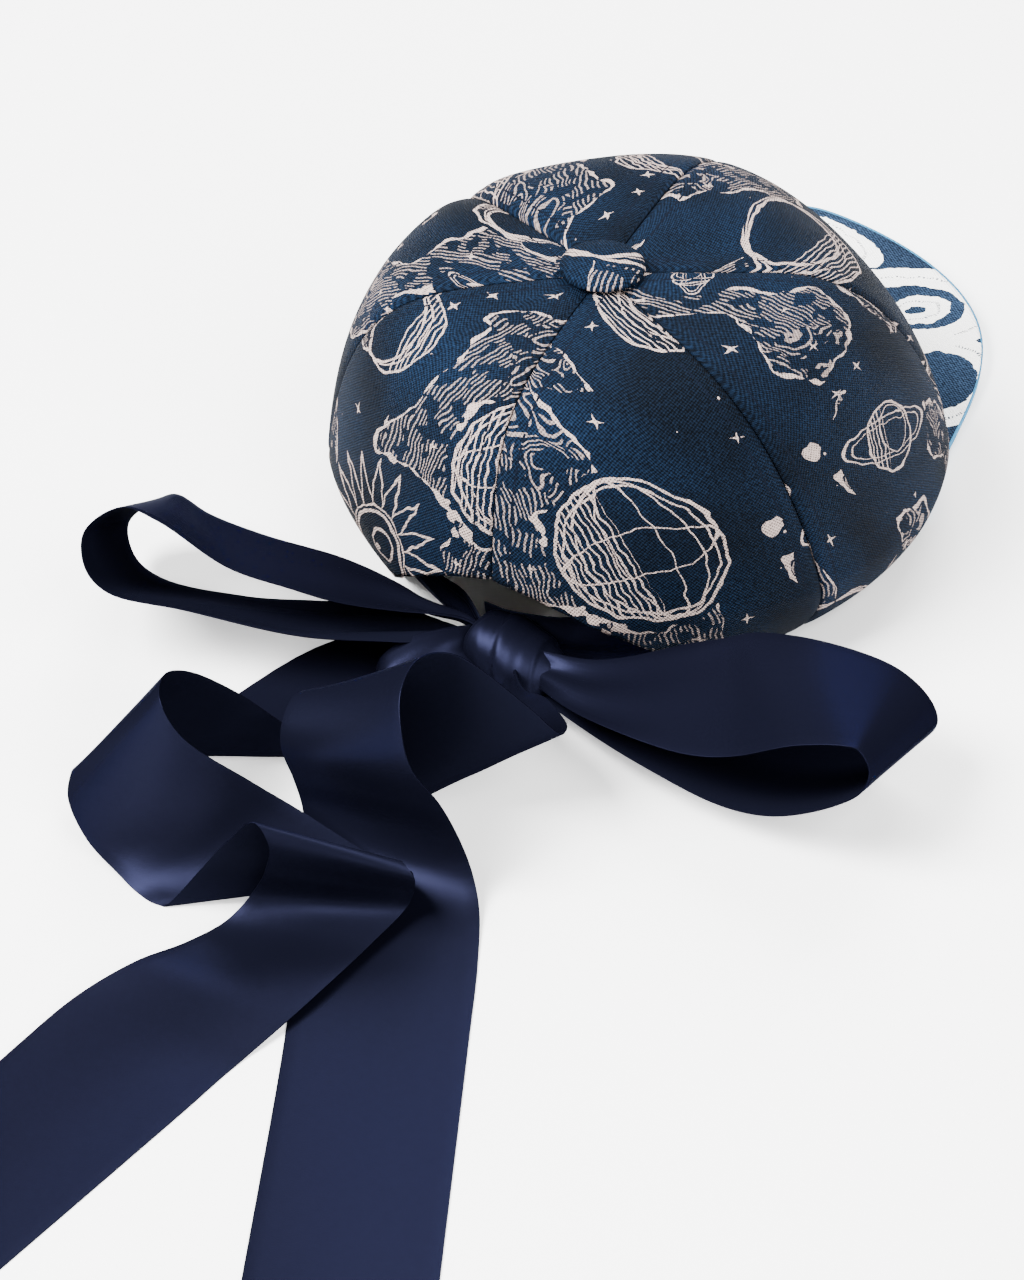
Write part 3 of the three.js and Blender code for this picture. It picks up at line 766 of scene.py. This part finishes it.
def paint_scroll(tree, cloth, seam, weave, colour, ink):
    brush_wobble = 3
    notches_per_millimetre = 2.4
    notch_share = 0.4
    notch_half_width = 0.5
    binding_width = 0.9
    wobble = add_node(
        tree, "ShaderNodeTexNoise", None, {"Vector": cloth, "Scale": 0.28, "Detail": 2.0}
    ).outputs["Color"]
    moved = add_node(
        tree,
        "ShaderNodeVectorMath",
        {"operation": "MULTIPLY_ADD"},
        {0: wobble, 1: (brush_wobble, brush_wobble, 0), 2: cloth},
    ).outputs[0]
    for x, y, wide, high, turned, inner in SCROLLS:
        place = {
            "Vector": moved,
            "Location": (x, y, 0),
            "Rotation": (0, 0, math.radians(turned)),
            "Scale": (wide, high, 1),
        }
        local = add_node(tree, "ShaderNodeMapping", {"vector_type": "TEXTURE"}, place).outputs[0]
        reach = add_node(tree, "ShaderNodeVectorMath", {"operation": "LENGTH"}, {0: local}).outputs["Value"]
        middle = (inner + 1) / 2
        band = add_node(
            tree, "ShaderNodeMath", {"operation": "COMPARE"}, {0: reach, 1: middle, 2: 1 - middle}
        ).outputs[0]
        # A row of small dark notches runs along the band's middle.
        angle = add_node(
            tree, "ShaderNodeTexGradient", {"gradient_type": "RADIAL"}, {"Vector": local}
        ).outputs["Fac"]
        around = add_node(
            tree,
            "ShaderNodeMath",
            {"operation": "MULTIPLY"},
            {0: angle, 1: notches_per_millimetre * (wide + high)},
        ).outputs[0]
        beat = add_node(tree, "ShaderNodeMath", {"operation": "FRACT"}, {0: around}).outputs[0]
        notch = add_node(
            tree, "ShaderNodeMath", {"operation": "LESS_THAN"}, {0: beat, 1: notch_share}
        ).outputs[0]
        line = add_node(
            tree,
            "ShaderNodeMath",
            {"operation": "COMPARE"},
            {0: reach, 1: middle, 2: notch_half_width / wide},
        ).outputs[0]
        dark = add_node(tree, "ShaderNodeMath", {"operation": "MULTIPLY"}, {0: notch, 1: line}).outputs[0]
        white = add_node(
            tree, "ShaderNodeMath", {"operation": "SUBTRACT", "use_clamp": True}, {0: band, 1: dark}
        ).outputs[0]
        colour = add_node(
            tree, "ShaderNodeMix", {"data_type": "RGBA"}, {0: white, 6: colour, 7: linear(ink)}
        ).outputs[2]
    from_edge = add_node(tree, "ShaderNodeSeparateXYZ", None, {0: seam}).outputs["X"]
    bound = add_node(
        tree, "ShaderNodeMath", {"operation": "LESS_THAN"}, {0: from_edge, 1: binding_width}
    ).outputs[0]
    return add_node(
        tree, "ShaderNodeMix", {"data_type": "RGBA"}, {0: bound, 6: colour, 7: linear("#3f7fa6")}
    ).outputs[2]


visor_cloth = woven_canvas("printed_visor_canvas", "#121c2a", "#1e2c3e", "#f6f6f4", paint_scroll, False)
VISOR_COLUMNS = 90
VISOR_ROWS = 16
ROOT_INSIDE = 0.0023
FRONT_SQUARENESS = 5
EDGE_POWER = 1.45
FRONT_CORNER = 0.003
END_FLARE = 0.006
EDGE_RADIUS = 0.09
turn = np.radians(np.linspace(-90, 90, VISOR_COLUMNS + 1))[None, :].repeat(VISOR_ROWS + 1, 0)
out = np.linspace(1, 0, VISOR_ROWS + 1)[:, None].repeat(VISOR_COLUMNS + 1, 1)
root_angle = turn * VISOR_HALF_ANGLE / 90
root = crown_point(root_angle, climb_at_height(root_angle, lower_edge(root_angle)))
root = root * (1 - ROOT_INSIDE / np.hypot(root[..., 0], root[..., 1]))[..., None]
front = np.cos(turn)
side = np.sqrt(np.maximum(1 - front**FRONT_SQUARENESS, 0))
corner = FRONT_CORNER * front**FRONT_SQUARENESS * np.sqrt(side)
edge_x = VISOR_HALF_WIDTH * side**EDGE_POWER + corner + END_FLARE * (1 - front) ** 8
edge_y = VISOR_END_DEPTH + (VISOR_FRONT - VISOR_END_DEPTH) * front
edge = np.stack([np.sign(turn) * edge_x, -edge_y, np.zeros_like(turn)], axis=-1)
points = root + (edge - root) * out[..., None]
points[..., 2] = VISOR_WALL + VISOR_ARCH * front**2 * (0.5 + 0.5 * out)
edge_distance = np.linalg.norm((edge - points)[..., :2], axis=-1)
maps = {
    "cloth": np.stack([points[..., 0], points[..., 1]], axis=-1) * 1000,
    "seam": np.stack([edge_distance, turn * EDGE_RADIUS], axis=-1) * 1000,
}
visor = grid_piece("visor_cloth", VISOR_COLUMNS, VISOR_ROWS, points, maps, VISOR_WALL, -1, [visor_cloth])
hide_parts("visor")

# Ribbon: single-faced satin, shiny on its top side and matt on its back. The floated threads take up
# the dye, so the sheen is navy too: it is partly metallic in the shader, and stretched across the threads.
# Each row is one place across it in millimetres, its left and right edge as it runs from the knot.
satin, satin_tree, satin_shader = new_material("satin_face", "#11121f", 0.4)
satin_back, satin_back_tree, satin_back_shader = new_material("satin_back", "#0b0c16", 0.6)
SATINS = [
    # material's nodes and shader, metallic share, reflection, strength of the thread grain
    (satin_tree, satin_shader, 0.66, 0.0, 0.3),
    (satin_back_tree, satin_back_shader, 0.25, 0.0, 0.2),
]
for tree, shader, metallic, shine, grain in SATINS:
    cloth = add_node(tree, "ShaderNodeUVMap", {"uv_map": "cloth"}).outputs["UV"]
    stretched = add_node(tree, "ShaderNodeMapping", None, {"Vector": cloth, "Scale": (0.7, 5.0, 1.0)})
    threads = add_node(
        tree, "ShaderNodeTexNoise", None, {"Vector": stretched.outputs[0], "Scale": 1.2, "Detail": 2.0}
    )
    bump = add_node(
        tree,
        "ShaderNodeBump",
        None,
        {"Height": threads.outputs["Fac"], "Strength": grain, "Distance": 0.0001},
    )
    tree.links.new(bump.outputs["Normal"], shader.inputs["Normal"])
    shader.inputs["Specular IOR Level"].default_value = shine
    shader.inputs["Metallic"].default_value = metallic
    shader.inputs["Specular Tint"].default_value = linear("#4e5474")
    tangent = add_node(tree, "ShaderNodeTangent", {"direction_type": "UV_MAP", "uv_map": "cloth"})
    tree.links.new(tangent.outputs["Tangent"], shader.inputs["Tangent"])
    shader.inputs["Anisotropic"].default_value = 0.5
RIBBON_WALL = 0.0004
RIBBON_SINK = 0.0004
FLOOR_CLEARANCE = 0.00002
GATHER_START = 0.004
GATHER_TURN = 40
TAIL_RIGHT = [
    ("in the knot", (-5, 109, 15), (-1, 110, 9)),
    ("leaves the knot", (-18, 129, 23), (-4, 127, 9)),
    ("opens out", (-26, 134, 27), (-2, 134, 8)),
    ("opens out", (-34, 141, 29), (-1, 145, 6)),
    ("first fold", (-39, 148, 32), (1, 156, 5)),
    ("first fold", (-40, 156, 36), (-1, 166, 5)),
    ("comes back over itself", (-32, 158, 44), (2, 171, 10)),
    ("rises", (-12, 164, 61), (21, 163, 27)),
    ("roll, far side", (-6, 174, 65), (30, 164, 33)),
    ("roll, top", (-6, 185, 62), (34, 170, 35)),
    ("roll, near side", (-10, 193, 54), (34, 179, 32)),
    ("comes down", (-14, 196, 46), (32, 184, 27)),
    ("comes down", (-21, 193, 33), (27, 187, 20)),
    ("comes down", (-25, 190, 20), (24, 188, 11)),
    ("touches down", (-29, 190, 9), (19, 196, 3)),
    ("under the other tail", (-34, 196, 3), (14, 209, 0.6)),
    ("under the other tail", (-42, 214, 0.6), (5, 231, 0.6)),
    ("lies flat", (-53, 244, 0.6), (-7, 261, 0.6)),
    ("end", (-87, 338, 0.6), (-40, 354, 0.6)),
]
TAIL_LEFT = [
    ("in the knot", (-3, 111, 9), (3, 107, 12)),
    ("leaves the knot", (-1, 121, 4), (15, 101.5, 11.5)),
    ("opens out", (10, 133, 2), (34, 104.5, 10.5)),
    ("lies flat", (19, 146, 1.5), (55, 118, 5)),
    ("first fold", (29, 156, 1.5), (79, 176, 2)),
    ("comes back over itself", (32, 160, 7), (82, 183, 4)),
    ("rises", (41, 168, 21), (87, 192, 7)),
    ("rises", (51, 175, 34), (89, 197, 9)),
    ("roll, far side", (60, 184, 45), (90, 200, 11)),
    ("roll, top", (62, 194, 51), (89, 204, 12)),
    ("roll, near side", (58, 204, 51), (86, 211, 10)),
    ("comes down", (51, 206, 42), (76, 219, 5)),
    ("comes down", (33, 200, 27), (63, 225, 2)),
    ("over the other tail", (21, 196, 18), (56, 228, 0.6)),
    ("over the other tail", (1, 196, 10), (50, 230, 0.6)),
    ("second fold", (-13, 198, 8), (46, 230, 0.6)),
    ("second fold", (-16, 200, 10), (43, 229, 4)),
    ("rises", (-17, 203, 15), (36, 227, 15)),
    ("rises", (-17, 207, 19), (28, 224, 27)),
    ("roll, top", (-17, 209, 24), (19, 225, 38)),
    ("roll, near side", (-21, 210, 21), (15, 225, 32)),
    ("comes down", (-20, 208, 13), (17, 224, 20)),
    ("comes down", (-18, 209, 7), (22, 224, 9)),
    ("over the other tail", (-14, 223, 4), (26, 231, 4)),
    ("over the other tail", (-10, 243, 4), (32, 243, 4)),
    ("over the other tail", (-6, 258, 3), (40, 257, 6)),
    ("lies flat", (0, 276, 0.6), (49, 273, 4)),
    ("lies flat", (5, 297, 0.6), (56, 295, 1.5)),
    ("end", (22, 366, 0.6), (68, 358, 0.6)),
]
LOOP_LEFT = [
    ("in the knot", (2, 108, 18), (3, 105, 13)),
    ("leaves the knot", (11.5, 106, 20), (13, 100.5, 17.5)),
    ("opens out", (19, 111, 23.5), (24, 99.5, 18.5)),
    ("opens out", (28, 116, 25.5), (38.5, 95, 18.5)),
    ("opens out", (43, 124, 30), (60, 89, 16)),
    ("top run", (58, 128, 34), (87, 88, 15)),
    ("top run", (76, 131, 38), (105, 89, 18)),
    ("roll, start", (99, 130, 47), (116, 89, 22)),
    ("roll, top", (110, 131, 49), (121, 91, 20)),
    ("roll, tip", (119, 138, 42), (128, 98, 14)),
    ("roll, tip", (116, 144, 34), (124, 103, 6)),
    ("roll, underneath", (108, 146, 29), (114, 105, 2)),
    ("bottom run", (85, 142, 27), (87, 101, 0.6)),
    ("bottom run", (49, 137, 25), (65, 97, 3)),
    ("closes in", (27, 122, 20), (38, 98, 11)),
    ("closes in", (13, 110, 16), (15, 102, 14)),
    ("back in the knot", (2, 110, 13), (3, 106, 8)),
]
LOOP_RIGHT = [
    ("in the knot", (-8, 109, 20), (-10, 113, 12)),
    ("opens out", (-30, 106, 20), (-37, 130, 20)),
    ("top run, dips", (-53, 92, 24), (-69, 138, 25)),
    ("top run", (-63, 90, 28), (-84, 139, 30)),
    ("top run, rises", (-71, 89, 32), (-103, 139, 41)),
    ("roll, start", (-92, 90, 37), (-117, 139, 46)),
    ("roll, top", (-115, 90, 35), (-121, 139, 46)),
    ("roll, tip", (-126, 92, 29), (-125, 140, 41)),
    ("roll, tip", (-129, 93, 22), (-124, 141, 34)),
    ("roll, underneath", (-124, 94, 14), (-117, 141, 26)),
    ("bottom run", (-106, 93, 5), (-99, 141, 15)),
    ("bottom run", (-90, 92, 2), (-82, 139, 11)),
    ("closes in", (-57, 91, 3), (-55, 133, 12)),
    ("back in the knot", (-8, 109, 6), (-10, 113, 9)),
]
ANCHOR_LEFT = [
    ("sewn in", (52, 80, 30), (46, 72, 2)),
    ("bends", (38, 86, 26), (34, 80, 2)),
    ("bends", (27, 90, 22), (24, 86, 2)),
    ("narrows", (18, 93.5, 21.5), (16, 91, 3)),
    ("narrows", (12.5, 97, 19), (11.5, 95, 5)),
    ("in the knot", (7, 102, 16), (7, 101, 7)),
]
ANCHOR_RIGHT = [
    ("sewn in", (-46, 72, 2), (-52, 80, 32)),
    ("bends", (-34, 82, 2), (-38, 87, 27)),
    ("bends", (-22, 89, 3), (-24, 92, 24)),
    ("behind the knot", (-12, 93.5, 4), (-12, 94.5, 21.3)),
    ("behind the knot", (-2, 94, 6), (-2, 94.5, 19.2)),
    ("behind the knot", (6, 94, 7), (6, 94.5, 18.5)),
    ("end", (10, 94, 9), (11, 94.5, 20)),
]


# A smooth curve through all the points, with the spacing rule that keeps tight bends free of loops.
def smooth_curve(points, sub_rows):
    points = np.vstack([2 * points[0] - points[1], points, 2 * points[-1] - points[-2]])
    knots = np.sqrt(np.linalg.norm(np.diff(points, axis=0), axis=1))
    curve = []
    for i in range(len(points) - 3):
        p, (a, b, c) = points[i : i + 4], knots[i : i + 3]
        for k in range(sub_rows if i < len(points) - 4 else sub_rows + 1):
            t = a + b * k / sub_rows
            first = p[0] + (p[1] - p[0]) * t / a
            second = p[1] + (p[2] - p[1]) * (t - a) / b
            third = p[2] + (p[3] - p[2]) * (t - a - b) / c
            early = first + (second - first) * t / (a + b)
            late = second + (third - second) * (t - a) / (b + c)
            curve.append(early + (late - early) * (t - a) / b)
    return np.array(curve) / 1000


def ribbon_piece(name, node, table, gathers):
    sub_rows, columns = 8, 12
    left = smooth_curve(np.array([row[1] for row in table], float), sub_rows)
    right = smooth_curve(np.array([row[2] for row in table], float), sub_rows)
    shares = np.linspace(0, 1, columns + 1)[None, :, None]
    points = left[:, None] + (right - left)[:, None] * shares
    points[..., 2] = np.maximum(points[..., 2] - RIBBON_SINK, RIBBON_WALL / 2 + FLOOR_CLEARANCE)
    width = np.linalg.norm(right - left, axis=1)[:, None]
    run = np.linalg.norm(np.diff(points, axis=0), axis=-1)
    length = np.vstack([np.zeros(columns + 1), np.cumsum(run, axis=0)])
    across = (shares[..., 0] - 0.5) * width
    # Pleats where the ribbon is drawn together; they die out along it.
    normal = np.cross(np.gradient(points, axis=1), np.gradient(points, axis=0))
    normal /= np.linalg.norm(normal, axis=-1, keepdims=True)
    for at_end, height, reach, pleats, shift in gathers:
        from_end = length[-1] - length if at_end else length
        fade = np.exp(-((from_end / reach) ** 2)) * np.minimum(from_end / GATHER_START, 1)
        wave = 2 * np.pi * pleats * shares[..., 0] + shift + from_end * GATHER_TURN
        fold = height * np.sin(wave)
        points = points + normal * (fold * fade)[..., None]
    points[..., 2] = np.maximum(points[..., 2], RIBBON_WALL / 2 + FLOOR_CLEARANCE)
    maps = {"cloth": np.stack([across, length], axis=-1) * 1000}
    piece = grid_piece(name, columns, len(left) - 1, points, maps, RIBBON_WALL, 0, [satin, satin_back])
    if node:
        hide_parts(node)


# A short curl of the ribbon's own edge, where it turns into the knot on the left.
CURL = [
    ("leaves the knot", (3, 115, 13), (10.5, 104.6, 19)),
    ("curls", (8, 126, 13), (16.6, 111.8, 21)),
    ("curls", (15, 135, 11), (25.8, 118.8, 19)),
    ("turns under", (19, 138, 9), (30.7, 124.2, 15)),
    ("turns under", (20, 137, 6), (33.0, 124.5, 8)),
]
PIECES = [
    # piece, node, rows, flat width and length in metres, how it is held; then each gather:
    # at the far end or not, height and reach in metres, pleats across it, where they start.
    # The anchors' and the curl's flat lengths are fitted to the modelled area, and shorter than the cut.
    # The left tail's is longer than its run.
    (
        "tail_right_ribbon",
        "tail_right",
        TAIL_RIGHT,
        (0.05, 0.35),
        "laid",
        [(False, 0.0011, 0.034, 2.5, 0.4)],
    ),
    ("tail_left_ribbon", "tail_left", TAIL_LEFT, (0.05, 0.49), "laid", [(False, 0.0012, 0.045, 2.2, 2.0)]),
    (
        "loop_left_ribbon",
        "loop_left",
        LOOP_LEFT,
        (0.05, 0.25),
        "folded",
        [(False, 0.0012, 0.05, 1.5, 0.3), (True, 0.0016, 0.06, 2.0, 1.8)],
    ),
    (
        "loop_right_ribbon",
        "loop_right",
        LOOP_RIGHT,
        (0.05, 0.25),
        "folded",
        [(False, 0.0008, 0.04, 1.6, 1.0), (True, 0.0010, 0.05, 2.0, 0.0)],
    ),
    (
        "anchor_left_ribbon",
        "ribbon_anchor_left",
        ANCHOR_LEFT,
        (0.05, 0.03),
        "gathered",
        [(True, 0.0010, 0.05, 1.5, 0.0)],
    ),
    (
        "anchor_right_ribbon",
        "ribbon_anchor_right",
        ANCHOR_RIGHT,
        (0.05, 0.03),
        "gathered",
        [(True, 0.0008, 0.06, 1.5, 1.5)],
    ),
    ("knot_end_curl", None, CURL, (0.025, 0.028), "gathered", [(False, 0.0010, 0.05, 1.5, 0.5)]),
]
for name, node, rows, flat, held, gathers in PIECES:
    ribbon_piece(name, node, rows, gathers)

# Knot: the ribbon wrapped tightly round itself, pleated along the wrap, with a raised last turn.
KNOT_CENTRE = (-0.0045, 0.107, 0.0128)
KNOT_HALF = (0.0148, 0.0122, 0.0110)
KNOT_HEADING = 166
KNOT_PITCH = 14
SLANT = 0.38
BAND_START = -0.15
BAND_END = 0.80
BAND_SHARPNESS = 90
BAND_RISE = 0.08
END_FULLNESS = 0.85
SIDE_FULLNESS = 0.36
BROAD_PLEATS = 9
BROAD_PLEAT_DEPTH = 0.010
NARROW_PLEATS = 23
NARROW_PLEAT_DEPTH = 0.005
KNOT_CLOTH = (13, 10)
knot_bm = bmesh.new()
bmesh.ops.create_uvsphere(knot_bm, u_segments=96, v_segments=64, radius=1)
knot_layer = knot_bm.loops.layers.uv.new("cloth")
for face in knot_bm.faces:
    face.smooth = True
    for loop in face.loops:
        x, y, z = loop.vert.co
        loop[knot_layer].uv = (z * KNOT_CLOTH[0], math.atan2(y, x) * KNOT_CLOTH[1])
for vertex in knot_bm.verts:
    around, deep, along = vertex.co
    wide = math.hypot(around, deep)
    turned = math.atan2(deep, around)
    end = math.copysign(abs(along) ** END_FULLNESS, along)
    slant = end + SLANT * math.sin(turned + 0.6)
    past_start = 1 / (1 + math.exp(-(slant - BAND_START) * BAND_SHARPNESS))
    past_end = 1 / (1 + math.exp(-(slant - BAND_END) * BAND_SHARPNESS))
    last_turn = past_start - past_end
    broad = BROAD_PLEAT_DEPTH * math.sin(BROAD_PLEATS * slant + 0.9 * math.sin(turned) + 0.4)
    narrow = NARROW_PLEAT_DEPTH * math.sin(NARROW_PLEATS * slant + turned)
    swell = wide**SIDE_FULLNESS * (1 - BAND_RISE + BAND_RISE * last_turn + (broad + narrow) * wide)
    spin = (math.cos(turned) * swell, math.sin(turned) * swell) if wide > 1e-6 else (0.0, 0.0)
    vertex.co = Vector((end * KNOT_HALF[0], spin[0] * KNOT_HALF[1], spin[1] * KNOT_HALF[2]))
knot_turn = Euler((0, math.radians(KNOT_PITCH), math.radians(KNOT_HEADING))).to_matrix()
bmesh.ops.rotate(knot_bm, verts=knot_bm.verts, cent=(0, 0, 0), matrix=knot_turn)
bmesh.ops.translate(knot_bm, verts=knot_bm.verts, vec=Vector(rim + np.array(KNOT_CENTRE)))
knot_mesh = bpy.data.meshes.new("knot_wrap")
knot_bm.to_mesh(knot_mesh)
knot_bm.free()
knot_mesh.materials.append(satin)
knot = bpy.data.objects.new("knot_wrap", knot_mesh)
bpy.context.collection.objects.link(knot)
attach(knot, "root")
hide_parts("knot")
